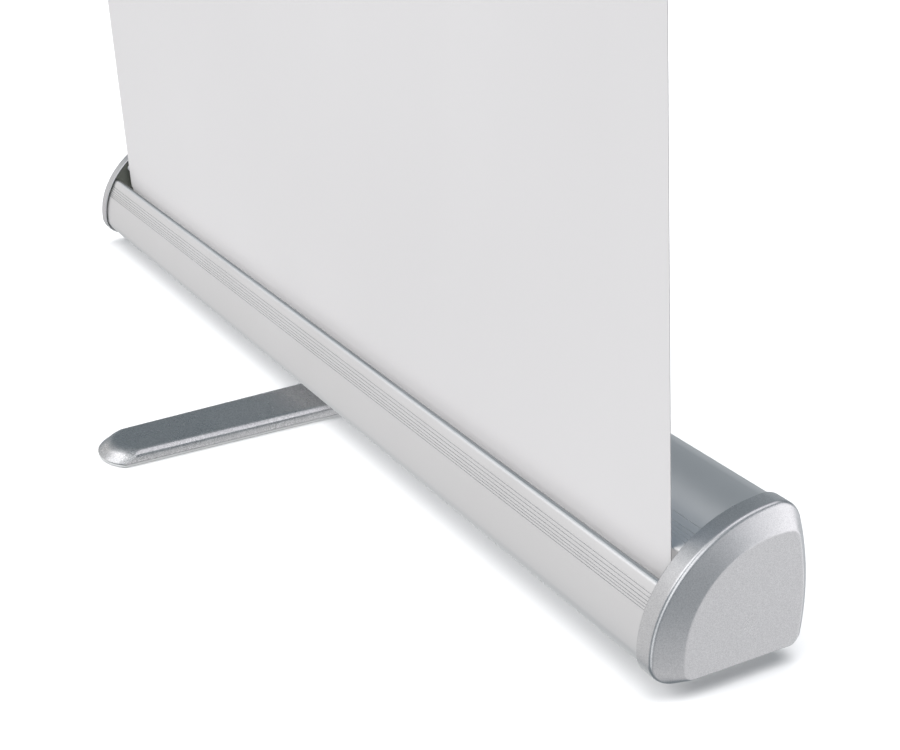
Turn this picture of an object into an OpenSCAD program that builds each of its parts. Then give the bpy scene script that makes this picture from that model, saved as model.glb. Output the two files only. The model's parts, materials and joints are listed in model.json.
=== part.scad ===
// Roll-up banner stand. A wide aluminium cassette holds a sprung roller, and stands
// on one swing-out foot. A telescopic pole and a snap rail hold the graphic up.
// Millimetres, +Z up. X runs along the cassette, and the graphic faces -Y.
// The origin is on the floor, under the middle of the graphic.

/* [Graphic] */
// Width of the graphic
graphic_w = 850; // [700:10:1000]
// Thickness of the graphic film
graphic_t = 0.4; // [0.2:0.1:0.5]
// Height of the graphic's top edge above the floor
graphic_top = 2056; // [1950:1:2150]

/* [Cassette] */
// Height of the cassette's underside above the floor
lift = 10; // [10:0.5:14]
// Wall thickness of the aluminium profile
wall = 1.8; // [1.6:0.1:2.2]
// Wall thickness of an end cap's rim
rim_wall = 1.6; // [1.4:0.1:1.7]
// Distance from each end of the graphic to the end of the profile
end_room = 11; // [10:1:20]
// Length of an end cap's rim
rim_len = 12.2; // [12:0.1:16]
// How far an end cap's face stands out past its ridge
face_rise = 4.4; // [3:0.1:6]
// Width of each groove in the profile
groove_w = 0.7; // [0.5:0.1:1]
// Depth of each groove in the profile
groove_d = 0.5; // [0.3:0.1:0.7]

/* [Roller] */
// Radius of the roller's axis behind the graphic plane, with the leader wound on
wound_r = 17.5; // [17:0.1:19]
// Height of the roller's axis above the cassette's underside
roller_h = 42; // [40:1:44]
// Outer radius of the roller tube
tube_r = 16; // [15:0.5:16]

/* [Foot] */
// Distance of the foot's pivot from the middle of the cassette
foot_x = 11.5; // [0:0.5:20]
// Distance from the foot's pivot to the tip of its nose
foot_len = 188; // [170:1:200]
// Radius of the foot's heel
heel_r = 27; // [25:0.5:28]
// Half of the foot's width at its nose
nose_half_w = 23; // [20:0.5:25]
// Height of the foot's top face above the floor
foot_h = 9.5; // [8.5:0.1:9.5]

/* [Pole] */
// Distance of the pole's axis behind the graphic plane
pole_y = 51.5; // [51:0.1:52]
// Outer radii of the pole's bottom, middle and top sections
pole_r = [9.5, 8, 6.5];
// Height of the joint between the bottom and middle sections
joint_low = 790; // [760:5:820]
// Height of the joint between the middle and top sections
joint_high = 1420; // [1410:5:1440]
// Length of the overlap inside a pole joint
overlap = 60; // [40:5:80]

/* [Top rail] */
// Height of the top rail
rail_h = 30; // [28:1:32]

/* [Hidden] */

$fn = 48;
eps = 0.01;
// Gap between pieces of one body that are pushed together
fit = 0.2;
// Radial clearance of a running fit
run = 0.05;
// Gap between pieces that move past each other
clear = 0.3;

// The cassette's outline, from its front bottom corner up over the top and down the
// back, as arcs that meet smoothly: [radius, turn in degrees]
CASING_ARCS = [[14, 90], [56.4, 27.2], [74.8, 44.3], [85.2, 16.6], [14.5, 77.4],
               [146.78, 26], [5, 78.5]];
// Where the flat underside ends and the first arc starts
casing_start = [-11.5, 0];
// The index of the arc that holds the slot and most of the grooves
SLOT_ARC = 2;
// Directions that the profile faces at the middle of its front and rear lips
lip_front = 145.3;
lip_rear = 129;
lip_front_r = 3.3;
lip_rear_r = 1.2;
lip_sink = 0.06;
// Directions that the profile faces at its grooves
FRONT_GROOVES = [for (i = [0:5]) 148.6 + 1.54 * i];
REAR_GROOVES = [117.6, 120.9, 122.5, 124.1, 125.7];
// Directions that the profile faces at its screw ports
PORTS = [225, 52, -48];
port_r = 3.4;
port_bore = 2.1;
port_sink = 0.4;
screw_r = 2;

profile_inset = rim_wall + fit;
x_end = graphic_w / 2 + end_room;
plate_t = 3;
x_plate = x_end + plate_t;
x_rim = x_end - 4;
x_ridge = x_rim + rim_len;
x_face = x_ridge + face_rise;
x_pocket = x_ridge - 1.6;
// The raised face of an end cap: a round front edge, drawn in from the cap's back edge
face_round = [46.5, 11, 55];
face_back_in = 4;
face_corner_r = 6;
cap_boss_r = 3.6;
// Places of the screws that hold an end cap, as [y, height above the underside]
CAP_SCREWS = [[4, 56.6], [46, 20]];
cap_screw_head = 3;

roller_y = wound_r + graphic_t / 2 + clear;
roller_z = lift + roller_h;
tube_wall = 1.2;
x_tube = graphic_w / 2 + 5;
axle_r = 4;
bearing_r = 7;
bearing_flange_r = 10;
x_bearing = x_end - 3.5;
plug_flange = 1.5;
plug_len = 22;
shaft_in = 200;
hub_len = 15;
spring_r = 8.5;
spring_wire = 0.9;
SPRING_TURNS = 20;
SPRING_STEPS = 12;
SPRING_SIDES = 6;

foot_y = 20;
sole_t = 2;
foot_edge = 7;
bolt_r = 4;
bolt_head_r = 8;
bolt_head_z = [2.4, 6];
washer_r = 14;
stop_ring = 18;
stop_r = 2;
stop_depth = 3;
FOOT_TURN = 90;
profile_floor = lift + profile_inset + wall;
profile_under = lift + profile_inset;
RUBBER_FEET = [for (x = [-395, 395], y = [10, 50]) [x, y]];
rubber_r = 8;

pole_wall = 1;
socket_r = 10.4;
socket_collar_r = 13;
socket_z = lift + 14;
socket_stem_r = 3.6;
pole_foot_z = socket_z + 2;
pole_top_z = graphic_top - 16;
collar_down = 22;
collar_up = 8;
collar_wall = 3.7;
lug_t = 4;
lever_r = 4;
lever_pin_r = 1.5;
lever_plate = 2.4;
lever_wrap = 160;
bush_len = 20;
guide_len = 8;

rail_z = graphic_top - 18;
hinge_y = -1.2;
hinge_h = 25;
hinge_r = 1.9;
hinge_shell = 1.2;
jaw_y = -6.3;
jaw_t = 1.6;
hanger_y = 16;
hanger_pin_r = 3;

silver = [0.75, 0.76, 0.77];
paint = [0.68, 0.69, 0.70];
dark = [0.12, 0.12, 0.13];
steel = [0.6, 0.6, 0.62];
film = [0.92, 0.92, 0.93];

// ---- Outlines ----

function unit(a) = [cos(a), sin(a)];
function turn_before(k) = k == 0 ? 0 : turn_before(k - 1) + CASING_ARCS[k - 1][1];
// Direction that the outline faces where arc k starts
function faces_at(k) = 270 - turn_before(k);
function arc_centre(k) = k == 0
    ? casing_start + [0, CASING_ARCS[0][0]]
    : arc_centre(k - 1) + (CASING_ARCS[k - 1][0] - CASING_ARCS[k][0]) * unit(faces_at(k));
function arc_of(a, k = 0) = a >= faces_at(k + 1) || k == len(CASING_ARCS) - 1
    ? k : arc_of(a, k + 1);
// The point, inset by d, where the outline faces direction a
function facing(a, d) = let (k = arc_of(a)) arc_centre(k) + (CASING_ARCS[k][0] - d) * unit(a);
// The whole outline, inset by d, with a point every few degrees
function outline(d) = [
    for (k = [0:len(CASING_ARCS) - 1])
        let (n = max(4, ceil(CASING_ARCS[k][1] / 3.5)))
        for (i = [0:n - 1])
            arc_centre(k) + (CASING_ARCS[k][0] - d) * unit(faces_at(k) - CASING_ARCS[k][1] * i / n),
    facing(-90, d)
];
function arc_points(c, r, from, to, n) = [
    for (i = [0:n]) c + r * unit(from + (to - from) * i / n)
];

// A flat slice of the space around the origin, between two directions
module sector(from, to) {
    polygon(concat([[0, 0]], arc_points([0, 0], 60, from, to, 6)));
}

// Stands a flat shape up across the cassette, from x0 to x1
module along_x(x0, x1) {
    translate([x0, 0, 0]) rotate([90, 0, 90]) linear_extrude(x1 - x0) children();
}

module casing(d, x0, x1) {
    translate([0, 0, lift]) along_x(x0, x1) polygon(outline(d));
}

// A round bar along X about the roller's axis
module bar(r, x0, x1) {
    translate([x0, roller_y, roller_z]) rotate([0, 90, 0]) cylinder(r = r, h = x1 - x0);
}

// A round bar along X at [y, height above the underside]
module bar_at(p, r, x0, x1) {
    translate([x0, p[0], lift + p[1]]) rotate([0, 90, 0]) cylinder(r = r, h = x1 - x0);
}

module tube(r_out, r_in, z0, z1) {
    translate([0, 0, z0]) difference() {
        cylinder(r = r_out, h = z1 - z0);
        translate([0, 0, -1]) cylinder(r = r_in, h = z1 - z0 + 2);
    }
}

module at_pole() translate([0, pole_y, 0]) children();

module at_foot() translate([foot_x, foot_y, 0]) children();

// Mirrors a right-hand piece to the left end
module hand(side) mirror([side < 0 ? 1 : 0, 0, 0]) children();

// ---- Cassette ----

function port(i) = facing(PORTS[i], profile_inset + port_r + port_sink);
// Centre of a rounded lip of radius r
function lip(a, r) = facing(a, profile_inset + r + lip_sink);

module profile_wedge(from, to) {
    translate(arc_centre(SLOT_ARC)) scale(2) sector(from, to);
}

// Runs a flat shape along the whole profile, and past its ends by extra
module span(extra = 0) {
    translate([0, 0, lift]) along_x(-x_end - extra, x_end + extra) children();
}

module grooves(angles) {
    for (a = angles) span(1)
        translate(facing(a, profile_inset)) rotate(a)
            square([2 * groove_d, groove_w], center = true);
}

// Holes through the profile for the pole, the foot's bolt and pin, and the screws
module profile_holes() {
    at_pole() translate([0, 0, lift + 50]) cylinder(r = socket_r + fit, h = 50);
    at_pole() translate([0, 0, lift - 5]) cylinder(r = screw_r, h = 10);
    at_foot() translate([0, 0, lift - 5]) cylinder(r = bolt_r + fit, h = 15);
    at_foot() translate([stop_ring, 0, lift - 5]) cylinder(r = stop_r, h = 15);
    for (p = RUBBER_FEET) translate([p[0], p[1], lift - 5]) cylinder(r = screw_r, h = 12);
}

module base_extrusion() color(silver) {
    front = lip(lip_front, lip_front_r);
    difference() {
        union() {
            difference() {
                span() polygon(outline(profile_inset));
                span(1) polygon(outline(profile_inset + wall));
                span(1) profile_wedge(lip_front, lip_rear);
            }
            for (i = [0:len(PORTS) - 1]) span() translate(port(i)) circle(r = port_r);
            span() translate(front) circle(r = lip_front_r);
            span() translate(lip(lip_rear, lip_rear_r)) circle(r = lip_rear_r);
        }
        for (p = plate_screws()) span(1) translate(p) circle(r = port_bore, $fn = 32);
        // The front lip's port opens down into the cassette
        span(1) translate(front) rotate(-60) translate([0, -0.8]) square([lip_front_r + 1, 1.6]);
        grooves(FRONT_GROOVES);
        grooves(REAR_GROOVES);
        profile_holes();
    }
}

// Everything that screws into the end of the profile, as [y, height]
function plate_screws() = concat([for (i = [0:len(PORTS) - 1]) port(i)],
                                 [lip(lip_front, lip_front_r)]);

module end_plate(side) color(paint) hand(side) difference() {
    casing(profile_inset + fit, x_end, x_plate);
    bar(bearing_r, x_end - 1, x_plate + 1);
    for (p = plate_screws()) bar_at(p, screw_r + 0.1, x_end - 1, x_plate + 1);
    for (p = CAP_SCREWS) bar_at(p, screw_r + 0.1, x_end - 1, x_plate + 1);
}

module end_plate_screws() color(steel) for (side = [-1, 1], p = plate_screws()) hand(side) {
    bar_at(p, screw_r, x_end - 9, x_plate);
    bar_at(p, 3, x_plate, x_plate + 1.6);
}

module cap_face() {
    offset(r = face_corner_r) offset(delta = -face_corner_r) intersection() {
        translate([face_round[0], face_round[1]]) circle(r = face_round[2], $fn = 96);
        translate([-face_back_in, 0]) polygon(outline(1));
    }
}

module end_cap(side) color(paint) hand(side) difference() {
    union() {
        difference() {
            union() {
                casing(0, x_rim, x_ridge);
                hull() {
                    casing(0, x_ridge - eps, x_ridge);
                    translate([0, 0, lift]) along_x(x_face - eps, x_face) cap_face();
                }
            }
            casing(rim_wall, x_rim - 1, x_pocket);
        }
        for (p = CAP_SCREWS) bar_at(p, cap_boss_r, x_plate, x_pocket + 1);
    }
    for (p = CAP_SCREWS) bar_at(p, screw_r, x_plate - 1, x_pocket + 2);
}

// Their heads are on the inside of the end plates
module end_cap_screws() color(steel) for (side = [-1, 1], p = CAP_SCREWS) hand(side) {
    difference() {
        bar_at(p, cap_screw_head, x_end - 2.2, x_end);
        for (turn = [0, 90])
            translate([x_end - 2.7, p[0], lift + p[1]]) rotate([turn, 0, 0])
                translate([0, -2, -0.4]) cube([1.6, 4, 0.8]);
    }
    bar_at(p, screw_r, x_end, x_pocket + 1.5);
}

module bearing_shell() {
    bar(bearing_flange_r, x_bearing, x_end);
    bar(bearing_r, x_end, x_plate);
}

module idle_bush() color(dark) hand(-1) difference() {
    bearing_shell();
    bar(axle_r + run, x_bearing - 1, x_plate + 1);
}

// Side of the square end of the spring shaft
shaft_square = 5.6;

module shaft_socket() color(dark) difference() {
    bearing_shell();
    translate([x_bearing - 1, roller_y, roller_z])
        along_x(0, x_plate - x_bearing + 2) square(shaft_square + 0.1, center = true);
}

// ---- Roller ----

module roller_tube() color(silver) difference() {
    bar(tube_r, -x_tube, x_tube);
    bar(tube_r - tube_wall, -x_tube - 1, x_tube + 1);
}

module roller_plug(side, bore) color(dark) hand(side) difference() {
    union() {
        bar(tube_r - tube_wall, x_tube - plug_len, x_tube);
        bar(tube_r, x_tube, x_tube + plug_flange);
    }
    bar(bore, x_tube - plug_len - 1, x_tube + plug_flange + 1);
}

module idle_axle() color(steel) hand(-1) bar(axle_r, x_tube - plug_len + 2, x_plate + 1);

module spring_shaft() color(steel) {
    bar(axle_r, shaft_in, x_bearing - 0.2);
    translate([x_bearing - 0.2, roller_y, roller_z])
        along_x(0, x_plate - x_bearing) square(shaft_square, center = true);
}

module spring_hub() color(dark) difference() {
    bar(tube_r - tube_wall - 0.08, shaft_in + 2, shaft_in + 2 + hub_len);
    bar(axle_r, shaft_in, shaft_in + 4 + hub_len);
}

// Centre line of the coil after step i of n, about the roller's axis
function coil_point(i, n, x0, x1) = let (a = 360 * SPRING_TURNS * i / n)
    [x0 + (x1 - x0) * i / n, spring_r * cos(a), spring_r * sin(a)];

module torsion_spring() {
    n = SPRING_TURNS * SPRING_STEPS;
    x0 = shaft_in + 2 + hub_len + spring_wire;
    x1 = x_tube - plug_len - spring_wire - clear;
    sides = SPRING_SIDES;
    rings = [
        for (i = [0:n])
            let (a = 360 * SPRING_TURNS * i / n)
            for (s = [0:sides - 1])
                let (r = spring_wire * unit(360 * s / sides))
                coil_point(i, n, x0, x1) + [r[0], r[1] * cos(a), r[1] * sin(a)]
    ];
    skin = [
        for (i = [0:n - 1], s = [0:sides - 1])
            let (t = (s + 1) % sides, b = i * sides)
            [b + s, b + sides + s, b + sides + t, b + t]
    ];
    ends = [
        [for (s = [0:sides - 1]) s],
        [for (s = [sides - 1:-1:0]) n * sides + s]
    ];
    color(steel) translate([0, roller_y, roller_z]) polyhedron(rings, concat(skin, ends));
}

module wound_graphic() color(film) difference() {
    bar(wound_r, -graphic_w / 2, graphic_w / 2);
    bar(tube_r, -graphic_w / 2 - 1, graphic_w / 2 + 1);
}

module graphic_panel() color(film)
    translate([-graphic_w / 2, -graphic_t / 2, roller_z])
        cube([graphic_w, graphic_t, graphic_top - roller_z]);

// ---- Foot ----

// Plan of the foot about its pivot, drawn in at its sides and its nose
function foot_plan(side_in, nose_in, nose_r) =
    let (w = nose_half_w - side_in, a = asin(w / nose_r), c = [0, nose_r + nose_in - foot_len])
    concat(arc_points([0, 0], heel_r - side_in, 0, 180, 18),
           arc_points(c, nose_r, 270 - a, 270 + a, 10));

module foot_slice(z, side_in, nose_in, nose_r) {
    translate([0, 0, z]) linear_extrude(eps) polygon(foot_plan(side_in, nose_in, nose_r));
}

module foot() color(paint) at_foot() difference() {
    hull() {
        foot_slice(sole_t, 0, 0, 32);
        foot_slice(foot_edge, 0, 5.5, 26);
        foot_slice(foot_h - eps, 3.5, 10, 21);
    }
    cylinder(r = bolt_r + run, h = 20);
    translate([0, 0, -1]) cylinder(r = bolt_head_r + clear, h = bolt_head_z[1] + clear + 1);
    // Arc that the stop pin runs in
    half = stop_r + clear;
    margin = half / stop_ring * 180 / PI;
    translate([0, 0, foot_h - stop_depth]) rotate(-FOOT_TURN - margin)
        rotate_extrude(angle = FOOT_TURN + 2 * margin)
            translate([stop_ring - half, 0]) square([2 * half, stop_depth + 1]);
}

module foot_sole() color(dark) at_foot() difference() {
    linear_extrude(sole_t) polygon(foot_plan(0.3, 0.3, 32));
    translate([0, 0, -1]) cylinder(r = bolt_head_r + clear, h = sole_t + 2);
}

module foot_pivot_bolt() color(steel) at_foot() difference() {
    union() {
        translate([0, 0, bolt_head_z[0]])
            cylinder(r = bolt_head_r, h = bolt_head_z[1] - bolt_head_z[0]);
        cylinder(r = bolt_r, h = profile_floor + 12);
        translate([0, 0, bolt_head_z[0]]) cylinder(r = bolt_r, h = 1);
    }
    translate([0, 0, -1]) cylinder(r = bolt_r + 1, h = bolt_head_z[0] + 1);
    translate([0, 0, bolt_head_z[0] - 1]) cylinder(r = 2.9, h = 3.2, $fn = 6);
}

module foot_washer() color(dark) at_foot()
    tube(washer_r, bolt_r + fit, foot_h + clear, profile_under);

module foot_nut_plate() color(steel) at_foot() difference() {
    translate([-20, -13, profile_floor]) cube([46, 26, 3]);
    translate([0, 0, lift]) cylinder(r = bolt_r + fit, h = 20);
    translate([stop_ring, 0, lift]) cylinder(r = stop_r, h = 20);
}

module foot_lock_nut() color(steel) at_foot() translate([0, 0, profile_floor + 3])
    difference() {
        union() {
            cylinder(r = 7.5, h = 5, $fn = 6);
            cylinder(r = 6, h = 7);
        }
        translate([0, 0, -1]) cylinder(r = bolt_r, h = 10);
    }

module foot_stop_pin() color(steel) at_foot() {
    z0 = foot_h - stop_depth + clear;
    translate([stop_ring, 0, z0]) cylinder(r = stop_r, h = profile_floor + 3 - z0);
}

module rubber_feet() color(dark) for (p = RUBBER_FEET) translate([p[0], p[1], 0])
    rotate_extrude() difference() {
        polygon([[0, 0], [rubber_r - 2, 0], [rubber_r - 0.6, 1], [rubber_r, profile_under], [0, profile_under]]);
        square([4.2, 5]);
        square([screw_r, 20]);
    }

module rubber_foot_screws() color(steel) for (p = RUBBER_FEET) translate([p[0], p[1], 2.4]) {
    difference() {
        cylinder(r = 3.8, h = 2.6);
        translate([0, 0, -1]) cylinder(r = 1.6, h = 2, $fn = 6);
    }
    cylinder(r = screw_r, h = profile_floor + 3);
}

// ---- Pole ----

module pole_socket() color(dark) difference() {
    union() {
        at_pole() translate([0, 0, socket_z]) cylinder(r = socket_r, h = 50);
        at_pole() translate([0, 0, profile_floor]) cylinder(r = socket_stem_r, h = 12);
        // Collar that follows the profile's curved top
        intersection() {
            at_pole() translate([0, 0, lift + 60]) cylinder(r = socket_collar_r, h = 40);
            difference() {
                casing(rim_wall - 1.2, -20, 20);
                casing(profile_inset, -21, 21);
            }
        }
        intersection() {
            at_pole() translate([0, 0, socket_z]) cylinder(r = socket_r, h = 100);
            casing(rim_wall - 1.2, -20, 20);
        }
    }
    at_pole() translate([0, 0, pole_foot_z]) cylinder(r = pole_r[0] + run, h = 100);
    at_pole() translate([0, 0, lift]) cylinder(r = screw_r, h = 10);
}

module socket_screw() color(steel) at_pole() {
    translate([0, 0, profile_under - 1.6]) cylinder(r = 3.6, h = 1.6);
    translate([0, 0, profile_under]) cylinder(r = screw_r, h = 4.5);
}

module pole_section(i, z0, z1) color(silver) at_pole()
    tube(pole_r[i], pole_r[i] - pole_wall, z0, z1);

module pole_end_plug() color(dark) at_pole() {
    r = pole_r[0] - pole_wall;
    translate([0, 0, pole_foot_z + 0.6]) cylinder(r = pole_r[0], h = 2.4);
    tube(r, r - 2, pole_foot_z + 3, pole_foot_z + 18);
}

// Sleeve in the top of section i, in which the next section slides
module pole_bush(i, joint) color(dark) at_pole()
    tube(pole_r[i] - pole_wall, pole_r[i + 1] + run, joint - bush_len, joint);

// Plug in the bottom of section i, which slides in the section below
module pole_guide(i, joint) color(dark) at_pole() {
    z = joint - overlap;
    tube(pole_r[i - 1] - pole_wall - 0.08, 3, z - guide_len, z);
    tube(pole_r[i] - pole_wall, 3, z, z + 10);
}

function lug_z(joint) = joint - collar_down + 2;
lever_h = collar_down + collar_up - 4 - 2 * lug_t;
function pin_r(i) = pole_r[i] + collar_wall + lever_r + 0.6;

// Clamp collar on the top of section i, with two lugs for the lever's pin
module lock_collar(i, joint) color(dark) at_pole() {
    r = pole_r[i] + collar_wall;
    z = lug_z(joint);
    difference() {
        union() {
            translate([0, 0, joint - collar_down]) cylinder(r = r, h = collar_down + collar_up);
            for (dz = [0, lug_t + lever_h]) translate([0, 0, z + dz]) {
                translate([-lever_r, 0, 0]) cube([2 * lever_r, pin_r(i), lug_t]);
                translate([0, pin_r(i), 0]) cylinder(r = lever_r, h = lug_t);
            }
        }
        translate([0, 0, joint - collar_down - 1]) cylinder(r = pole_r[i], h = collar_down + 1);
        cylinder(r = pole_r[i + 1] + clear, h = joint + collar_up + 1);
        translate([0, pin_r(i), z - 1]) cylinder(r = lever_pin_r, h = 50);
        // Slit that lets the collar close on the section inside it
        translate([2, 4, joint + 1]) cube([1.2, 20, collar_up]);
    }
}

module lock_lever(i, joint) color(dark) at_pole() {
    r = pole_r[i] + collar_wall + 0.4;
    z = lug_z(joint) + lug_t + clear;
    h = lever_h - 2 * clear;
    difference() {
        translate([0, 0, z]) union() {
            intersection() {
                tube(r + lever_plate, r, 0, h);
                linear_extrude(h) sector(86, 90 + lever_wrap);
            }
            // Thumb end, turned out from the collar
            rotate(88 + lever_wrap) translate([r + 0.5, -2, 1]) cube([lever_plate + 4, 2, h - 2]);
            translate([0, pin_r(i), 0]) cylinder(r = lever_r, h = h);
        }
        translate([0, pin_r(i), z - 1]) cylinder(r = lever_pin_r + run, h = h + 2);
    }
}

module lock_pin(i, joint) color(steel) at_pole()
    translate([0, pin_r(i), lug_z(joint)]) cylinder(r = lever_pin_r, h = lever_h + 2 * lug_t);

module pole_head() color(dark) difference() {
    union() {
        at_pole() translate([0, 0, pole_top_z - 16]) cylinder(r = pole_r[2] + 3, h = 22);
        translate([-5, hanger_y, pole_top_z - 6]) cube([10, pole_y - hanger_y, 10]);
        translate([0, hanger_y, pole_top_z - 6]) cylinder(r = 5, h = 10);
        translate([0, hanger_y, pole_top_z]) cylinder(r = hanger_pin_r, h = 20);
    }
    at_pole() translate([0, 0, pole_top_z - 17]) cylinder(r = pole_r[2], h = 17);
}

// ---- Top rail ----

module rail_section() {
    back = 6.6;
    skin = 1.5;
    seat = graphic_t / 2 + clear;
    difference() {
        union() {
            translate([back - skin, 0]) square([skin, rail_h - 2]);
            translate([seat, 0]) square([skin, hinge_h]);
            translate([seat, 0]) square([back - seat, skin]);
            translate([hinge_y, hinge_h - 0.8]) square([back - hinge_y - 0.5, skin]);
            translate([back - 3, rail_h - 3]) circle(r = 3);
            translate([back - 3, hinge_h]) square([skin, rail_h - hinge_h - 3]);
            translate([hinge_y, hinge_h]) circle(r = hinge_r + hinge_shell);
        }
        translate([hinge_y, hinge_h]) circle(r = hinge_r);
        translate([hinge_y, hinge_h]) sector(65, 195);
    }
}

module rail_body() color(silver) difference() {
    translate([0, 0, rail_z]) along_x(-graphic_w / 2, graphic_w / 2) rail_section();
    for (x = [-10, 10]) translate([x, 0, rail_z + 12]) rotate([-90, 0, 0])
        translate([0, 0, 3]) cylinder(r = 1.6, h = 10);
}

module jaw_section() {
    lip = -graphic_t / 2 - clear;
    bead = hinge_r - run;
    translate([jaw_y, 0.8]) square([jaw_t, hinge_h + 1]);
    translate([jaw_y + 0.8, 0]) square([lip - jaw_y - 0.8, jaw_t]);
    translate([jaw_y + 0.8, 0.8]) circle(r = 0.8);
    translate([jaw_y + 0.8, hinge_h + 1.8]) circle(r = 0.8);
    translate([hinge_y, hinge_h]) circle(r = bead);
    translate([hinge_y, hinge_h]) rotate(170) translate([0, -0.6]) square([-jaw_y + hinge_y - 0.6, 1.2]);
}

module rail_jaw() color(silver)
    translate([0, 0, rail_z]) along_x(1 - graphic_w / 2, graphic_w / 2 - 1) jaw_section();

module rail_end_cap(side) color(dark) hand(side) translate([0, 0, rail_z])
    along_x(graphic_w / 2, graphic_w / 2 + 2.5) {
        translate([0.5, -0.4]) square([6.7, rail_h - 2.6]);
        translate([3.6, rail_h - 3]) circle(r = 3.6);
        translate([hinge_y, hinge_h]) circle(r = 3.6);
        translate([hinge_y, hinge_h - 3.6]) square([4.5, 7.2]);
    }

module rail_hanger() color(dark) difference() {
    union() {
        translate([-14, 6.6, rail_z + 6.4]) cube([28, 3, 13]);
        translate([-6.5, 6.6, rail_z + 6.4]) cube([13, hanger_y - 6.6, 13]);
        translate([0, hanger_y, rail_z + 6.4]) cylinder(r = 6.5, h = 13);
    }
    translate([0, hanger_y, rail_z]) cylinder(r = hanger_pin_r + run, h = 30);
    for (x = [-10, 10]) translate([x, 5, rail_z + 12]) rotate([-90, 0, 0]) cylinder(r = 1.6, h = 10);
}

module rail_hanger_screws() color(steel) for (x = [-10, 10])
    translate([x, 0, rail_z + 12]) rotate([-90, 0, 0]) {
        translate([0, 0, 4]) cylinder(r = 1.5, h = 5.6);
        translate([0, 0, 9.6]) cylinder(r = 2.8, h = 1.6);
    }

base_extrusion();
end_cap(-1);  // end_cap_left
end_cap(1);  // end_cap_right
end_plate(-1);  // end_plate_left
end_plate(1);  // end_plate_right
end_plate_screws();
end_cap_screws();
idle_bush();
shaft_socket();
roller_tube();
roller_plug(-1, axle_r);  // roller_plug_left
roller_plug(1, axle_r + run);  // roller_plug_right
idle_axle();
spring_shaft();
spring_hub();
torsion_spring();
wound_graphic();
graphic_panel();
foot();
foot_sole();
foot_pivot_bolt();
foot_washer();
foot_nut_plate();
foot_lock_nut();
foot_stop_pin();
rubber_feet();
rubber_foot_screws();
pole_socket();
socket_screw();
pole_section(0, pole_foot_z + 3, joint_low);  // pole_bottom
pole_section(1, joint_low - overlap, joint_high);  // pole_middle
pole_section(2, joint_high - overlap, pole_top_z);  // pole_top
pole_bush(0, joint_low);  // pole_bush_lower
pole_bush(1, joint_high);  // pole_bush_upper
pole_guide(1, joint_low);  // pole_guide_lower
pole_guide(2, joint_high);  // pole_guide_upper
pole_end_plug();
lock_collar(0, joint_low);  // lock_collar_lower
lock_collar(1, joint_high);  // lock_collar_upper
lock_lever(0, joint_low);  // lock_lever_lower
lock_lever(1, joint_high);  // lock_lever_upper
lock_pin(0, joint_low);  // lock_pin_lower
lock_pin(1, joint_high);  // lock_pin_upper
pole_head();
rail_body();
rail_jaw();
rail_end_cap(-1);  // rail_end_cap_left
rail_end_cap(1);  // rail_end_cap_right
rail_hanger();
rail_hanger_screws();
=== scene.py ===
"""Looks of the roll-up banner stand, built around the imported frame.

Shapes are drawn in millimetres in the frame's own axes, and become metres when a piece is made.
"""

import json
import math

import bmesh
import bpy
from mathutils import Euler, Matrix, Vector, noise
from mathutils.geometry import tessellate_polygon


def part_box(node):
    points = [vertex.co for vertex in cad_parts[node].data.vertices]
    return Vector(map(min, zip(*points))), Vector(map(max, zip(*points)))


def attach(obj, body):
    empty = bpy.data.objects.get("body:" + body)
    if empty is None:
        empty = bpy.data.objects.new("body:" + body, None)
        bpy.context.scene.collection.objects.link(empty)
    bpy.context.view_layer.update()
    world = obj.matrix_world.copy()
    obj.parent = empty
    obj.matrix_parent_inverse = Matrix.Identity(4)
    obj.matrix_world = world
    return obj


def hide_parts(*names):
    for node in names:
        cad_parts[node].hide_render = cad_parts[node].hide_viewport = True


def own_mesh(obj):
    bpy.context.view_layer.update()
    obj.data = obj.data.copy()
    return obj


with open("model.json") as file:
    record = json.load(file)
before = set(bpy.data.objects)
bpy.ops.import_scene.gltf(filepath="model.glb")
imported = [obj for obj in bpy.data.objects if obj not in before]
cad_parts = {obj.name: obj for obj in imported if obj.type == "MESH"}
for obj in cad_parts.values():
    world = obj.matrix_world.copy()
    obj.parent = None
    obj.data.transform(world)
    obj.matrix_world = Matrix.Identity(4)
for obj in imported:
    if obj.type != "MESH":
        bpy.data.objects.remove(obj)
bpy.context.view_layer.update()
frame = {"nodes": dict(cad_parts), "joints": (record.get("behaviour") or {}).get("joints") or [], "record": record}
MM = 0.001

# ---- Places taken from the frame ----


def corners(node):
    """Lowest and highest corner of a CAD node, in millimetres."""
    low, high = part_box(node)
    return low / MM, high / MM


def half_height(node):
    low, high = corners(node)
    return (high.z - low.z) / 2


BODY_OF = {n: b for b, nodes in frame["record"]["behaviour"]["bodies"].items() for n in nodes}
JOINT_AT = {j["name"]: Vector(j["pos_m"]) / MM for j in frame["joints"] if "pos_m" in j}

CAP_LOW, CAP_HIGH = corners("end_cap_right")
LIFT, X_RIM, X_FACE = CAP_LOW.z, CAP_LOW.x, CAP_HIGH.x
X_PROFILE = corners("base_extrusion")[1].x
X_PLATE = corners("end_plate_right")[1].x
PANEL_LOW, PANEL_HIGH = corners("graphic_panel")
PANEL_W, PANEL_T, PANEL_H = (high - low for low, high in zip(PANEL_LOW, PANEL_HIGH))
ROLLER = JOINT_AT["roller_spin"]
FOOT = JOINT_AT["foot_swing"]
TUBE_R, WOUND_R = half_height("roller_plug_left"), half_height("wound_graphic")
POLE_LOW, POLE_HIGH = corners("pole_bottom")
POLE_Y = (POLE_LOW.y + POLE_HIGH.y) / 2
POLE_JOINTS = (POLE_HIGH.z, corners("pole_middle")[1].z)
POLE_R = [corners(n)[1].x for n in ("pole_bottom", "pole_middle", "pole_top")]
RAIL_Z = corners("rail_body")[0].z

# ---- Sizes that the frame doesn't give, as in the design ----

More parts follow.
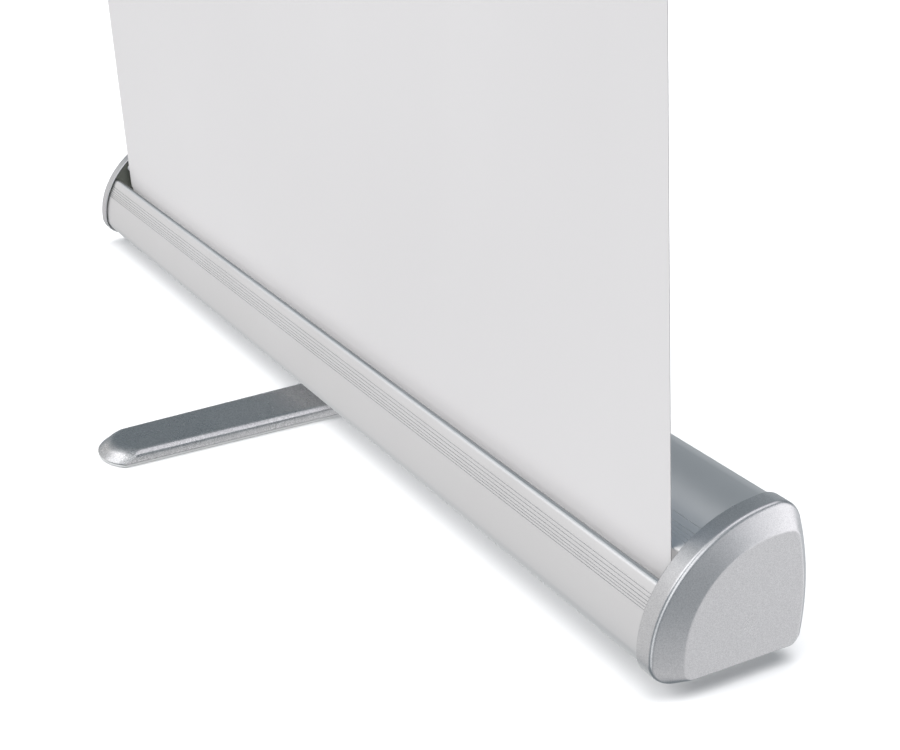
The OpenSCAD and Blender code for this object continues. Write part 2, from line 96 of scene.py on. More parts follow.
# The outline from its front bottom corner over the top and down the back: (radius, turn)
CASING_ARCS = [(14, 90), (56.4, 27.2), (74.8, 44.3), (85.2, 16.6), (14.5, 77.4), (146.78, 26), (5, 78.5)]
UNDERSIDE_FRONT = -11.5
RIM_WALL, FACE_RISE = 1.6, 4.4
X_RIDGE = X_FACE - FACE_RISE
X_POCKET = X_RIDGE - RIM_WALL
PROFILE_INSET, PROFILE_WALL = 1.8, 1.8
LIP_FRONT, LIP_FRONT_R = 145.3, 3.3
LIP_REAR, LIP_REAR_R = 129, 1.2
SLOT_RADIUS = 74.8
FRONT_GROOVES = [148.6 + 1.54 * i for i in range(6)]
REAR_GROOVES = [117.6, 120.9, 122.5, 124.1, 125.7]
# One groove across: (offset along the surface, depth)
GROOVE = [(-0.46, 0), (-0.38, 0.1), (-0.32, 0.5), (0.32, 0.5), (0.38, 0.1), (0.46, 0)]
PORTS = [225, 52, -48]
PORT_R, PORT_BORE, PORT_SINK = 3.4, 2.1, 0.4
# Places of an end cap's screws, as (y, height above the underside)
CAP_SCREWS = [(4, 56.6), (46, 20)]
SCREW_R, CAP_BOSS_R = 2, 3.6
# Gaps of a push fit, of a running fit, and between pieces that move past each other
FIT, RUN, CLEAR = 0.2, 0.05, 0.3
BOLT_R, BOLT_HEAD_R = 4, 8
STOP_RING, STOP_R = 18, 2
SOLE_T = 2
RUBBER_R = 8
SOCKET_R, SOCKET_COLLAR_R = 10.4, 13
PIN_R = 1.5
HANGER_SCREWS_X = (-10, 10)

# ---- Flat geometry ----


def unit(degrees):
    a = math.radians(degrees)
    return Vector((math.cos(a), math.sin(a)))


def heading(v):
    """Direction of a flat vector, in degrees."""
    return math.degrees(math.atan2(v.y, v.x))


def casing_arcs():
    """(facing at the end, radius, centre) of each arc, with the centre as (y, z)."""
    faces, centre, last, arcs = 270, Vector((UNDERSIDE_FRONT, LIFT)), 0, []
    for radius, turn in CASING_ARCS:
        centre = centre + unit(faces) * (last - radius)
        faces, last = faces - turn, radius
        arcs.append((faces, radius, centre))
    return arcs


CASING = casing_arcs()


def facing(angle, inset=0.0):
    """The point of the cassette's outline, drawn in by inset, that faces angle."""
    for end, radius, centre in CASING:
        if angle >= end - 1e-6:
            return centre + unit(angle) * (radius - inset)
    raise ValueError(f"nothing faces {angle}")


def steps(first, last, step):
    """Evenly spaced numbers from first to last, both included."""
    n = max(1, round(abs(last - first) / step))
    return [first + (last - first) * i / n for i in range(n + 1)]


OUTLINE_ANGLES = steps(270, -90, 1.0)


def outline(inset=0.0):
    """The cassette's whole outline. The flat underside closes it."""
    return [facing(a, inset) for a in OUTLINE_ANGLES]


def arc(centre, radius, first, last, step=8):
    """Points on a circle. The angle may run either way."""
    return [Vector(centre) + unit(a) * radius for a in steps(first, last, step)]


def circle(centre, radius, step=8):
    return arc(centre, radius, 0, 360, step)[:-1]


def rounded(corners_in, closed=True):
    """A line through (u, v, radius) corners, each corner rounded to its radius."""
    points, n, count = [], len(corners_in), 4
    for i, (u, v, radius) in enumerate(corners_in):
        here = Vector((u, v))
        if radius <= 0 or (not closed and i in (0, n - 1)):
            points.append(here)
            continue
        back = Vector(corners_in[i - 1][:2]) - here
        ahead = Vector(corners_in[(i + 1) % n][:2]) - here
        half = back.angle(ahead) / 2
        reach = min(radius / math.tan(half), 0.49 * back.length, 0.49 * ahead.length)
        start, end = here + back.normalized() * reach, here + ahead.normalized() * reach
        centre = here + (back.normalized() + ahead.normalized()).normalized() * (reach / math.cos(half))
        sweep = (start - centre).angle_signed(end - centre)
        for k in range(count + 1):
            spin = Matrix.Rotation(-sweep * k / count, 2)
            points.append(centre + spin @ (start - centre))
    return points


def drawn_in(points, distance):
    """A closed outline moved inwards by distance, corner by corner."""
    n = len(points)
    area = sum(points[i - 1].cross(points[i]) for i in range(n))
    side = 1 if area > 0 else -1
    moved = []
    for i in range(n):
        a = (points[i] - points[i - 1]).normalized()
        b = (points[(i + 1) % n] - points[i]).normalized()
        normal = Vector((-(a.y + b.y), a.x + b.x)) * side
        length = max(normal.length, 1e-6)
        mitre = min(2.0, 2 / length)
        moved.append(points[i] + normal / length * distance * mitre)
    return moved


# ---- Solid geometry ----

UP = Matrix.Identity(4)
# Stands a section, drawn as (y, z), up across the cassette
ALONG_X = Matrix(((0, 0, 1, 0), (1, 0, 0, 0), (0, 1, 0, 0), (0, 0, 0, 1)))
ALONG_Y = Matrix(((1, 0, 0, 0), (0, 0, 1, 0), (0, -1, 0, 0), (0, 0, 0, 1)))
MIRROR_X = Matrix.Scale(-1, 4, (1, 0, 0))
SMOOTH_BELOW = math.radians(32)


def at(x, y, z, turned=UP):
    return Matrix.Translation((x, y, z)) @ turned


ON_FOOT = at(FOOT.x, FOOT.y, 0)
ON_POLE = at(0, POLE_Y, 0)
ON_ROLLER = at(0, ROLLER.y, ROLLER.z, ALONG_X)
ON_RAIL = at(0, 0, RAIL_Z, ALONG_X)


class Shape:
    """A mesh in the making, in millimetres. Points are (u, v) outlines at a height h, placed by `to`."""

    def __init__(self, to=UP):
        self.bm = bmesh.new()
        self.to = to

    def point(self, u, v, h):
        return self.bm.verts.new(self.to @ Vector((u, v, h)))

    def ring(self, points, h):
        return [self.point(p[0], p[1], h) for p in points]

    def skin(self, rings, closed=True, looped=False):
        """Quads between neighbouring rings, which all have the same number of points."""
        pairs = list(zip(rings, rings[1:]))
        if looped:
            pairs.append((rings[-1], rings[0]))
        for a, b in pairs:
            n = len(a)
            for i in range(n if closed else n - 1):
                j = (i + 1) % n
                quad = [a[i], a[j], b[j], b[i]]
                distinct = [v for k, v in enumerate(quad) if v not in quad[:k]]
                if len(distinct) > 2:
                    self.bm.faces.new(distinct)

    def close(self, ring, holes=()):
        """A flat end on a ring of points, with holes left in it."""
        if not holes:
            self.bm.faces.new(ring)
            return
        loops = [ring, *holes]
        inverse = self.to.inverted()
        flat = [[(inverse @ v.co).xy.to_3d() for v in loop] for loop in loops]
        every = [v for loop in loops for v in loop]
        for triangle in tessellate_polygon(flat):
            self.bm.faces.new([every[i] for i in triangle])

    def shut(self, rings, low=0, high=0, holes=()):
        """Skins the rings and closes both ends. Holes go right through, from low to high."""
        self.skin(rings)
        bores = [[self.ring(hole, h) for h in (low, high)] for hole in holes]
        for bore in bores:
            self.skin(bore)
        for end in (0, -1):
            self.close(rings[end], [bore[end] for bore in bores])

    def bar(self, points, low, high, holes=()):
        """A straight extrusion with sharp ends."""
        self.shut([self.ring(points, h) for h in (low, high)], low, high, holes)

    def slab(self, points, low, high, edge, holes=()):
        """A straight extrusion with its edges rounded to the radius edge."""
        rings = []
        for centre_h, first, last in ((low + edge, -90, 0), (high - edge, 0, 90)):
            for a in steps(first, last, 30):
                p = unit(a)
                rings.append(self.ring(drawn_in(points, edge * (1 - p.x)), centre_h + edge * p.y))
        self.shut(rings, low, high, holes)

    def lathe(self, profile, count=64, looped=False):
        """Turns (radius, h) points about the h axis. A radius of 0 makes a point on the axis."""
        rings = []
        for radius, h in profile:
            if radius < 1e-6:
                rings.append([self.point(0, 0, h)] * count)
            else:
                rings.append(self.ring([unit(360 * i / count) * radius for i in range(count)], h))
        self.skin(rings, looped=looped)

    def add(self, other):
        """Puts another shape in with this one, as it stands."""
        spare = bpy.data.meshes.new("spare")
        other.bm.to_mesh(spare)
        other.bm.free()
        self.bm.from_mesh(spare)
        bpy.data.meshes.remove(spare)


def object_from(bm, name):
    mesh = bpy.data.meshes.new(name)
    bmesh.ops.recalc_face_normals(bm, faces=bm.faces)
    bm.to_mesh(mesh)
    bm.free()
    made = bpy.data.objects.new(name, mesh)
    bpy.context.scene.collection.objects.link(made)
    return made


def combined(shape, other, operation="DIFFERENCE"):
    """The shape with another cut from it, or joined to it."""
    body, tool = object_from(shape.bm, "body_of_cut"), object_from(other.bm, "tool_of_cut")
    cut = body.modifiers.new("cut", "BOOLEAN")
    cut.operation, cut.object, cut.solver = operation, tool, "EXACT"
    cut.use_self = True
    solved = body.evaluated_get(bpy.context.evaluated_depsgraph_get())
    result = Shape()
    result.bm.from_mesh(solved.data)
    bmesh.ops.remove_doubles(result.bm, verts=result.bm.verts, dist=1e-4)
    bmesh.ops.dissolve_degenerate(result.bm, edges=result.bm.edges, dist=1e-4)
    for spare in (body, tool):
        # This removes the object as well
        bpy.data.meshes.remove(spare.data)
    return result


def smooth(bm):
    for face in bm.faces:
        face.smooth = True
    for edge in bm.edges:
        edge.smooth = len(edge.link_faces) == 2 and edge.calc_face_angle(0) < SMOOTH_BELOW


def piece(shape, name, node, finish=None):
    """Makes a piece from a shape. It stands for its CAD node, and rides on that node's body."""
    slot = frame["nodes"][node].data.materials[0].name
    smooth(shape.bm)
    shape.bm.transform(Matrix.Scale(MM, 4))
    made = object_from(shape.bm, name)
    made.data.materials.append(finish or FINISHES[slot])
    made.modifiers.new("even_normals", "WEIGHTED_NORMAL").keep_sharp = True
    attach(made, BODY_OF[node])
    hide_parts(node)
    return made


def edged(node, name, radius):
    """A CAD node's own shape with every sharp edge broken by a small radius."""
    shape = Shape()
    shape.bm.from_mesh(frame["nodes"][node].data)
    shape.bm.transform(Matrix.Scale(1 / MM, 4))
    bmesh.ops.remove_doubles(shape.bm, verts=shape.bm.verts, dist=1e-3)
    bmesh.ops.dissolve_limit(shape.bm, angle_limit=0.01, verts=shape.bm.verts, edges=shape.bm.edges)
    sharp = [e for e in shape.bm.edges if len(e.link_faces) == 2 and e.calc_face_angle(0) > SMOOTH_BELOW]
    bmesh.ops.bevel(
        shape.bm, geom=sharp, offset=radius, offset_type="OFFSET", segments=2, profile=0.5,
        affect="EDGES", clamp_overlap=True,
    )
    return piece(shape, name, node)


# ---- Materials ----


class Finish:
    """A procedural material, built from small steps on the object's own coordinates."""

    def __init__(self, name, **constants):
        self.material = bpy.data.materials.new(name)
        self.material.use_nodes = True
        self.tree = self.material.node_tree
        self.shader = self.tree.nodes["Principled BSDF"]
        own = self.tree.nodes.new("ShaderNodeTexCoord").outputs["Object"]
        # Noise repeats itself about the origin, so the pattern is taken from further out
        moved = self.node("ShaderNodeMapping", {"Vector": own}, Location=(3.17, 5.43, 7.29))
        self.where = moved.outputs["Vector"]
        for socket, value in constants.items():
            self.shader.inputs[socket.replace("_", " ")].default_value = value

    def node(self, kind, links=None, **values):
        made = self.tree.nodes.new(kind)
        for socket, value in values.items():
            made.inputs[socket.replace("_", " ")].default_value = value
        for socket, source in (links or {}).items():
            self.tree.links.new(source, made.inputs[socket])
        return made

    def stretched(self, *scale):
        """The object's coordinates, with each axis scaled."""
        return self.node("ShaderNodeMapping", {"Vector": self.where}, Scale=scale).outputs["Vector"]

    def noise(self, per_metre, detail=3.0, roughness=0.5, where=None):
        links = {"Vector": where or self.where}
        made = self.node("ShaderNodeTexNoise", links, Scale=per_metre, Detail=detail, Roughness=roughness)
        return made.outputs[0]

    def flakes(self, per_metre):
        """A random level for each small cell."""
        cells = self.node("ShaderNodeTexVoronoi", {"Vector": self.where}, Scale=per_metre)
        return self.node("ShaderNodeSeparateColor", {"Color": cells.outputs["Color"]}).outputs["Red"]

    def level(self, value, low, high):
        """A noise as a number from low to high."""
        links = {"Value": value}
        made = self.node("ShaderNodeMapRange", links, From_Min=0.3, From_Max=0.7, To_Min=low, To_Max=high)
        return made.outputs["Result"]

    def mixed(self, a, b, share):
        made = self.node("ShaderNodeMix", {"A": a, "B": b}, Factor=share)
        return made.outputs["Result"]

    def tone(self, value, dark, light, first=0.3, last=0.7):
        """A noise as a colour from dark to light."""
        ramp = self.node("ShaderNodeValToRGB", {"Fac": value})
        for element, place, colour in zip(ramp.color_ramp.elements, (first, last), (dark, light)):
            element.position, element.color = place, (*colour, 1)
        return ramp.outputs["Color"]

    def bump(self, height, depth, over=None):
        """A normal for bumps of a depth in millimetres, laid over another normal if there is one."""
        links = {"Height": height}
        if over is not None:
            links["Normal"] = over
        return self.node("ShaderNodeBump", links, Distance=depth * MM).outputs["Normal"]

    def set(self, **sources):
        for socket, source in sources.items():
            self.tree.links.new(source, self.shader.inputs[socket.replace("_", " ")])
        return self.material

    def mottled(self, patches, dark, light, rough, grain, depth):
        """Patches set the tone and the roughness together, under bumps of a grain."""
        return self.set(
            Base_Color=self.tone(patches, dark, light),
            Roughness=self.level(patches, *rough), Normal=self.bump(grain, depth),
        )


def anodised(name, dark, light, rough, lengthwise):
    """Satin anodised aluminium, with the fine lines that a die leaves along the part."""
    f = Finish(name, Metallic=1.0)
    lines, clouds = f.noise(1.0, 4.0, 0.6, f.stretched(*lengthwise)), f.noise(14.0, 2.0)
    matt, etched = f.mixed(lines, clouds, 0.92), f.noise(2600.0, 2.0)
    return f.mottled(matt, dark, light, (rough - 0.04, rough + 0.04), etched, 0.002)


def sparkle_paint(name, dark, light, rough, per_metre):
    """Silver paint full of fine flakes, on a moulded or cast part."""
    f = Finish(name, Metallic=0.97, Coat_Weight=0.06, Coat_Roughness=0.25)
    flake = f.mixed(f.flakes(per_metre), f.noise(0.5 * per_metre, 2.0), 0.25)
    orange_peel = f.noise(420.0, 1.0)
    lie = f.bump(orange_peel, 0.004, f.bump(flake, 0.01))
    return f.set(
        Base_Color=f.tone(flake, dark, light, 0.1, 0.9),
        Roughness=f.level(f.noise(30.0), rough - 0.03, rough + 0.03), Normal=lie,
    )


def film():
    """Matt printing film, with a faint calendered grain."""
    f = Finish("graphic_film", Coat_Weight=0.05, Coat_Roughness=0.5)
    weave, drift = f.noise(900.0, 2.0), f.noise(3.0, 2.0)
    return f.set(
        Base_Color=f.tone(drift, (0.645, 0.63, 0.63), (0.67, 0.655, 0.655)),
        Roughness=f.level(weave, 0.48, 0.6), Normal=f.bump(weave, 0.006),
    )


def film_back():
    """The film's grey block-out back."""
    f = Finish("film_back")
    grain = f.noise(700.0, 2.0)
    return f.set(
        Base_Color=f.tone(f.noise(5.0), (0.29, 0.30, 0.31), (0.32, 0.33, 0.34)),
        Roughness=f.level(grain, 0.5, 0.62), Normal=f.bump(grain, 0.006),
    )


def moulded(name, dark, light):
    """Moulded nylon with a spark-eroded grain, a little paler where hands rub it."""
    f = Finish(name)
    grain, rub = f.noise(1400.0, 3.0, 0.6), f.noise(60.0, 3.0)
    return f.mottled(rub, dark, light, (0.42, 0.56), grain, 0.03)


def zinc_steel():
    """Bright zinc on steel, slightly cloudy."""
    f = Finish("zinc_steel", Metallic=1.0)
    cloud, fine = f.noise(160.0, 3.0), f.noise(2200.0, 2.0)
    return f.mottled(cloud, (0.54, 0.55, 0.58), (0.70, 0.70, 0.71), (0.24, 0.38), fine, 0.006)


def cast_zinc():
    """A die-cast plate, dull and slightly mottled."""
    f = Finish("cast_zinc", Metallic=0.9)
    mottle, skin = f.noise(90.0, 4.0, 0.6), f.noise(900.0, 3.0)
    return f.mottled(mottle, (0.19, 0.2, 0.17), (0.26, 0.27, 0.235), (0.45, 0.62), skin, 0.03)


def rubber():
    """Grey rubber with a dusty bloom."""
    f = Finish("rubber")
    bloom, grain = f.noise(45.0, 4.0, 0.6), f.noise(1100.0, 2.0)
    return f.mottled(bloom, (0.05, 0.05, 0.05), (0.085, 0.085, 0.082), (0.72, 0.9), grain, 0.02)


FINISHES = {
    "aluminium": anodised(
        "anodised_profile", (0.735, 0.735, 0.74), (0.775, 0.775, 0.78),
        rough=0.36, lengthwise=(0.4, 900, 900),
    ),
    "silver_paint": sparkle_paint(
        "silver_paint", (0.5, 0.505, 0.515), (0.655, 0.66, 0.67), rough=0.3, per_metre=2800.0
    ),
    "cast_plate": cast_zinc(),
    "steel": zinc_steel(),
    "black_plastic": moulded("moulded_black", (0.016, 0.016, 0.018), (0.035, 0.035, 0.037)),
    "graphic_film": film(),
    "rubber": rubber(),
}
FOOT_FINISH = sparkle_paint(
    "foot_paint", (0.42, 0.425, 0.43), (0.66, 0.665, 0.67), rough=0.28, per_metre=1700.0
)
SOLE_FINISH = moulded("moulded_grey", (0.56, 0.565, 0.56), (0.64, 0.645, 0.64))
POLE_FINISH = anodised(
    "anodised_pole", (0.70, 0.70, 0.71), (0.79, 0.79, 0.80), rough=0.3, lengthwise=(900, 900, 0.4)
)

# ---- Cassette ----


def port_centre(angle):
    return facing(angle, PROFILE_INSET + PORT_R + PORT_SINK)


def outer_surface(first, last, grooves):
    """The profile's outer surface between two facings, with grooves cut in it."""
    turn = math.degrees(1 / (SLOT_RADIUS - PROFILE_INSET))
    reach = GROOVE[-1][0] * turn + 0.2
    points = [(a, 0) for a in steps(first, last, 1.0) if all(abs(a - g) >= reach for g in grooves)]
    points += [(g + offset * turn, depth) for g in grooves for offset, depth in GROOVE]
    return [facing(a, PROFILE_INSET + depth) for a, depth in sorted(points)]


def around_port(path, centre, radius):
    """A wall's inner line, led round the far side of a screw port that bulges from it."""
    inside = [i for i, p in enumerate(path) if (p - centre).length < radius]
    halvings = 30

    def direction_of_edge(far, near):
        """Direction of the point between them that lies on the circle."""
        for _ in range(halvings):
            middle = (near + far) / 2
            near, far = (middle, far) if (middle - centre).length < radius else (near, middle)
        return heading(near - centre)

    first = direction_of_edge(path[inside[0] - 1], path[inside[0]])
    last = direction_of_edge(path[inside[-1] + 1], path[inside[-1]])
    round_port = arc(centre, radius, first, last + 360 * (last < first))
    return path[: inside[0]] + round_port + path[inside[-1] + 1 :]


def profile_section():
    """The profile's outline: outer skin, rear lip, inner skin with ports, and front lip with its port."""
    wall = PROFILE_INSET + PROFILE_WALL
    rear = facing(LIP_REAR, PROFILE_INSET + LIP_REAR_R)
    front = facing(LIP_FRONT, PROFILE_INSET + LIP_FRONT_R)
    meet = math.degrees(math.acos((LIP_FRONT_R - PROFILE_WALL) / LIP_FRONT_R))
    half_gap, mouth, rear_roll = 0.8, 300, 240
    slot_out = math.degrees(math.asin(half_gap / LIP_FRONT_R))
    slot_in = math.degrees(math.asin(half_gap / PORT_BORE))
    path = outer_surface(LIP_FRONT, 270, FRONT_GROOVES) + outer_surface(-90, LIP_REAR, REAR_GROOVES)
    path += arc(rear, LIP_REAR_R, LIP_REAR, LIP_REAR + rear_roll)[1:]
    inner = [facing(a, wall) for a in steps(LIP_REAR - 1, -90, 1.0)]
    inner += [facing(a, wall) for a in steps(270, LIP_FRONT + 2.6, 1.0)]
    for angle in reversed(PORTS):
        inner = around_port(inner, port_centre(angle), PORT_R)
    path += inner
    path += arc(front, LIP_FRONT_R, LIP_FRONT + meet, mouth - slot_out)
    path += arc(front, PORT_BORE, mouth - slot_in, mouth + slot_in - 360)
    path += arc(front, LIP_FRONT_R, mouth + slot_out, LIP_FRONT + 360)[:-1]
    return path


def rubber_places():
    """Where the four rubber feet stand, as (x, y)."""
    low, high = corners("rubber_feet")
    xs, ys = ([low[i] + RUBBER_R, high[i] - RUBBER_R] for i in (0, 1))
    return [(x, y) for x in xs for y in ys]


def cassette_profile():
    """The extrusion, with holes for the screws, the foot's bolt and stop, and the pole's socket."""
    shape = Shape(ALONG_X)
    bores = [circle(port_centre(a), PORT_BORE) for a in PORTS]
    shape.bar(profile_section(), -X_PROFILE, X_PROFILE, bores)
    cutter = Shape()
    in_floor = (LIFT, LIFT + PROFILE_INSET + PROFILE_WALL + 1)
    in_top = (LIFT + 50, LIFT + 100)
    holes = [(0, POLE_Y, SCREW_R, *in_floor), (FOOT.x, FOOT.y, BOLT_R + FIT, *in_floor)]
    holes += [(FOOT.x + STOP_RING, FOOT.y, STOP_R, *in_floor), (0, POLE_Y, SOCKET_R + FIT, *in_top)]
    holes += [(x, y, SCREW_R, *in_floor) for x, y in rubber_places()]
    for x, y, radius, low_z, high_z in holes:
        cutter.bar(circle((x, y), radius, 6), low_z, high_z)
    return piece(combined(shape, cutter), "cassette_profile", "base_extrusion")


# The raised face of an end cap: a round front edge, and the cap's own outline drawn in
FACE_ROUND_CENTRE, FACE_ROUND_R = (46.5, 11), 55
FACE_IN, FACE_BACK_IN, FACE_CORNER = 1, 4, 6
RIDGE_R, FACE_EDGE_R, MOUTH_R = 2.0, 0.8, 0.5
# The funnel inside the rim's mouth: how thin the rim starts, and how long the funnel is
MOUTH_WALL, MOUTH_LENGTH = 0.9, 1.4


def clipped(polygon, normal, offset):
    """A convex polygon without what lies beyond offset along normal."""
    kept = []
    for a, b in zip(polygon, polygon[1:] + polygon[:1]):
        da, db = a.dot(normal) - offset, b.dot(normal) - offset
        if da <= 0:
            kept.append(a)
        if (da < 0 < db) or (db < 0 < da):
            kept.append(a.lerp(b, da / (da - db)))
    return kept


def cap_face_outline():
    """For each facing of the cap's outline, the point of the raised face that faces the same way."""
    far = 200
    core = [Vector(p) for p in ((-far, -far), (far, -far), (far, far), (-far, far))]
    middle = Vector((FACE_ROUND_CENTRE[0], FACE_ROUND_CENTRE[1] + LIFT))
    for angle in OUTLINE_ANGLES:
        n = unit(angle)
        shifted = facing(angle, FACE_IN + FACE_CORNER) - Vector((FACE_BACK_IN, 0))
        core = clipped(core, n, shifted.dot(n))
        core = clipped(core, n, middle.dot(n) + FACE_ROUND_R - FACE_CORNER)
    points = []
    for angle in OUTLINE_ANGLES:
        n = unit(angle)
        lean = unit(angle + (0.01 if angle <= -90 else -0.01))
        points.append(max(core, key=lambda p: p.dot(lean)) + n * FACE_CORNER)
    return points


def bend(a, b, c, count):
    """Points from a to c along a curve that b pulls out."""
    made = []
    for i in range(count + 1):
        t = i / count
        made.append(a * (1 - t) ** 2 + b * 2 * t * (1 - t) + c * t * t)
    return made


def cap_profile(edge, face, inwards):
    """The cap's surface from its mouth over the ridge to its face, at one facing, as 3-D points."""
    ridge = Vector((X_RIDGE, *edge))
    rise = Vector((X_FACE, *face))
    slope = (rise - ridge).normalized()
    inner = Vector((0, *inwards))
    reach = min(RIDGE_R, 0.45 * (rise - ridge).length)
    soft = min(FACE_EDGE_R, 0.45 * (rise - ridge).length)
    mouth = Vector((X_RIM, *edge))
    line = bend(mouth + inner * MOUTH_R, mouth, mouth + Vector((MOUTH_R, 0, 0)), 2)
    line += bend(ridge - Vector((RIDGE_R, 0, 0)), ridge, ridge + slope * reach, 6)
    line += bend(rise - slope * soft, rise, rise + inner * FACE_EDGE_R, 4)
    return line


def end_cap(side):
    """One end cap: its rim over the profile, its ridge and raised face, its pocket and screw bosses."""
    shape = Shape()
    faces = zip(OUTLINE_ANGLES, cap_face_outline())
    lines = [cap_profile(facing(a), face, -unit(a)) for a, face in faces]
    rings = [[shape.point(*p) for p in row] for row in zip(*lines)]
    shape.to = ALONG_X
    inside = [shape.ring(outline(RIM_WALL), x) for x in (X_POCKET, X_RIM + MOUTH_LENGTH)]
    inside.append(shape.ring(outline(MOUTH_WALL), X_RIM))
    shape.skin(inside + rings)
    shape.close(rings[-1])
    boss_rings = []
    for y, z in CAP_SCREWS:
        boss, bore = (circle((y, z + LIFT), radius, 10) for radius in (CAP_BOSS_R, SCREW_R))
        walls = [shape.ring(boss, X_POCKET), shape.ring(boss, X_PLATE)]
        bores = [shape.ring(bore, X_PLATE), shape.ring(bore, X_POCKET + 2)]
        shape.skin(walls + bores)
        shape.close(bores[1])
        boss_rings.append(walls[0])
    shape.close(inside[0], boss_rings)
    node = "end_cap_right"
    if side < 0:
        shape.bm.transform(MIRROR_X)
        node = "end_cap_left"
    return piece(shape, node.replace("cap", "cap_shell"), node)


def cross_recess(shape, to, radius, depth):
    """Two tapered bars, which cut a cross in a screw's head."""
    for turn in (0, 90):
        cutter = Shape(to @ Matrix.Rotation(math.radians(turn), 4, "Z"))
        half_u, half_v, taper = 0.5 * radius, 0.3, 1.3
        narrow = [(-half_u, -half_v), (half_u, -half_v), (half_u, half_v), (-half_u, half_v)]
        wide = [(u * taper, v * taper) for u, v in narrow]
        cutter.shut([cutter.ring(narrow, -depth), cutter.ring(wide, 1)])
        shape.add(cutter)


def pan_screws(name, node, places, head_r, head_h, shank_r, shank):
    """Pan-head screws with a cross recess. Each place looks out along its h axis, from under the head."""
    shape, cutter = Shape(), Shape()
    for to in places:
        screw = Shape(to)
        side = [(0, -shank), (shank_r - 0.4, -shank), (shank_r, -shank + 0.6), (shank_r, 0)]
        side += [(head_r - 0.2, 0), (head_r, 0.2), (head_r, 0.35 * head_h), (0.92 * head_r, 0.72 * head_h)]
        side += [(0.7 * head_r, 0.93 * head_h), (0.35 * head_r, head_h), (0, head_h)]
        screw.lathe(side, 32)
        shape.add(screw)
        cross_recess(cutter, to @ Matrix.Translation((0, 0, head_h)), head_r, 0.6 * head_h)
    return piece(combined(shape, cutter), name, node)


def cap_screw_places():
    """The cap screws' heads face inwards, at both ends."""
    inwards = ALONG_X @ Matrix.Rotation(math.pi, 4, "X")
    right = [at(X_PROFILE, y, z + LIFT) @ inwards for y, z in CAP_SCREWS]
    return right + [MIRROR_X @ to for to in right]


# ---- Banner and roller ----

PANEL_COLUMNS, PANEL_ROWS = 48, 96
# How far the film bows, and the lengths of its wave across and up
BOW, WAVE_ACROSS, WAVE_UP = 0.5, 340, 900
# How far its edges curl, how far it leans back where it leaves the roller, and over what height
CURL, LEAN, LEAN_OVER = 0.5, 0.25, 14


def panel_y(x, z):
    """How far the film stands off its plane: it leaves the roller, and waves very slightly between."""
    share = (z - PANEL_LOW.z) / PANEL_H
    free = math.sin(math.pi * min(1.0, max(0.0, (share - 0.03) / 0.95)))
    wave = noise.noise(Vector((x / WAVE_ACROSS, 0.7, z / WAVE_UP))) * BOW
    curl = CURL * (abs(x) / PANEL_HIGH.x) ** 6
    lean = LEAN * max(0.0, 1 - (z - PANEL_LOW.z) / LEAN_OVER) ** 2
    return lean + free * (wave + curl)


def banner():
    """The film as a thin closed sheet, finely divided so that it can wave."""
    shape = Shape()
    half_t = PANEL_T / 2
    xs = steps(PANEL_LOW.x, PANEL_HIGH.x, PANEL_W / PANEL_COLUMNS)
    zs = steps(PANEL_LOW.z, PANEL_LOW.z + LEAN_OVER, LEAN_OVER / 4)
    zs += steps(PANEL_LOW.z + 20, PANEL_HIGH.z, PANEL_H / PANEL_ROWS)
    rows = []
    for z in zs:
        front = [shape.point(x, panel_y(x, z) - half_t, z) for x in xs]
        back = [shape.point(x, panel_y(x, z) + half_t, z) for x in reversed(xs)]
        rows.append(front + back)
    shape.skin(rows)
    n = len(xs)
    for row in (rows[0], rows[-1]):
        shape.skin([row[:n], row[: n - 1 : -1]], closed=False)
    made = piece(shape, "banner_film", "graphic_panel")
    made.data.materials.append(film_back())
    for face in made.data.polygons:
        face.material_index = int(face.normal.y > 0.5)
    return made


def leader_winding():
    """The leader of the film, wound on the roller as a flat spiral."""
    shape = Shape(ON_ROLLER)
    turns, thick = 3, 0.4
    pitch = (WOUND_R - TUBE_R - 0.1) / turns
    start = TUBE_R + 0.06
    growth = (pitch - 0.02) * (turns - thick / pitch) / turns

    def spiral(offset):
        return [unit(a) * (start + offset + growth * a / 360) for a in steps(0, 360 * turns, 5)]

    section = spiral(0) + list(reversed(spiral(thick)))
    shape.bar(section, PANEL_LOW.x, PANEL_HIGH.x)
    return piece(shape, "leader_winding", "wound_graphic")


def tube_side(radius, wall, edge, low, high):
    """Section of a tube whose outer ends are broken by edge, for the lathe."""
    side = [(radius - edge, low), (radius, low + edge), (radius, high - edge), (radius - edge, high)]
    return side + [(radius - wall, high), (radius - wall, low)]


def roller():
    shape = Shape(ON_ROLLER)
    low, high = corners("roller_tube")
    shape.lathe(tube_side(TUBE_R, 1.2, 0.3, low.x, high.x), 96, looped=True)
    return piece(shape, "roller_skin", "roller_tube")


def spring_coil():
    """The roller's torsion spring, as round wire."""
    shape = Shape()
    low, high = corners("torsion_spring")
    wire = 0.9
    mean = half_height("torsion_spring") - wire
    first, last, turns, per_turn = low.x + wire, high.x - wire, 20, 32
    rings, around_wire = [], circle((0, 0), wire, 36)
    for i in range(turns * per_turn + 1):
        radial = unit(360 * i / per_turn)
        middle = ROLLER + Vector((first + (last - first) * i / (turns * per_turn), *(radial * mean)))
        rings.append([shape.point(*(middle + Vector((r.x, *(radial * r.y))))) for r in around_wire])
    shape.shut(rings)
    return piece(shape, "spring_coil", "torsion_spring")


# ---- Foot ----

HEEL_R, NOSE_HALF_W, FOOT_LEN = 27, 23, 188
# From the sole up: (height, drawn in at the sides, drawn in at the nose, nose radius, softness)
FOOT_LEVELS = [
    (SOLE_T, 0, 0, 32, 0), (7, 0, 5.5, 26, 0.26), (9.5, 3.5, 10, 21, 0.45), (9.5, 9, 16, 15, 0),
]
